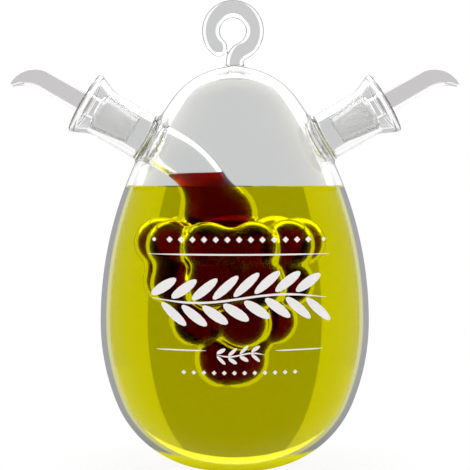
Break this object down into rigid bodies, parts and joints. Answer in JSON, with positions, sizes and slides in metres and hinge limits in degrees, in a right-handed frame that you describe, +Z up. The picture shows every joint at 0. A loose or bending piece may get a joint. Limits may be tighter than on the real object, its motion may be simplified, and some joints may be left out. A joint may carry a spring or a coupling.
{
  "type": "oil and vinegar cruet",
  "caption": "Hand-blown glass oil and vinegar cruet, egg-shaped, with a grape-bunch inner vessel, two spouted ground stoppers and a hanging hook",
  "frame": {"origin": "centre of the flat foot, on the table", "axes": "+Z up along the vessel's axis, +X along the oil neck's side, +Y away from the viewer of the picture"},
  "size_m": [0.174, 0.1032, 0.18],
  "materials": {
    "clear_glass": "clear",
    "frosted_glass": "ground",
    "oil": "liquid",
    "vinegar": "liquid"
  },
  "bodies": {
    "vessel": {"outer_vessel": "clear_glass", "oil_neck": "clear_glass", "vinegar_neck": "clear_glass", "grape_vessel": "clear_glass", "hanging_hook": "clear_glass", "oil_fill": "oil", "vinegar_fill": "vinegar"},
    "oil_stopper_body": {"oil_stopper": "frosted_glass"},
    "vinegar_stopper_body": {"vinegar_stopper": "frosted_glass"}
  },
  "joints": [
    {"name": "oil_stopper_lift", "type": "slide", "parent": "vessel", "child": "oil_stopper_body", "axis": [0.866, 0, 0.5], "range_m": [0, 0.03]},
    {"name": "vinegar_stopper_lift", "type": "slide", "parent": "vessel", "child": "vinegar_stopper_body", "axis": [-0.866, 0, 0.5], "range_m": [0, 0.03]}
  ]
}
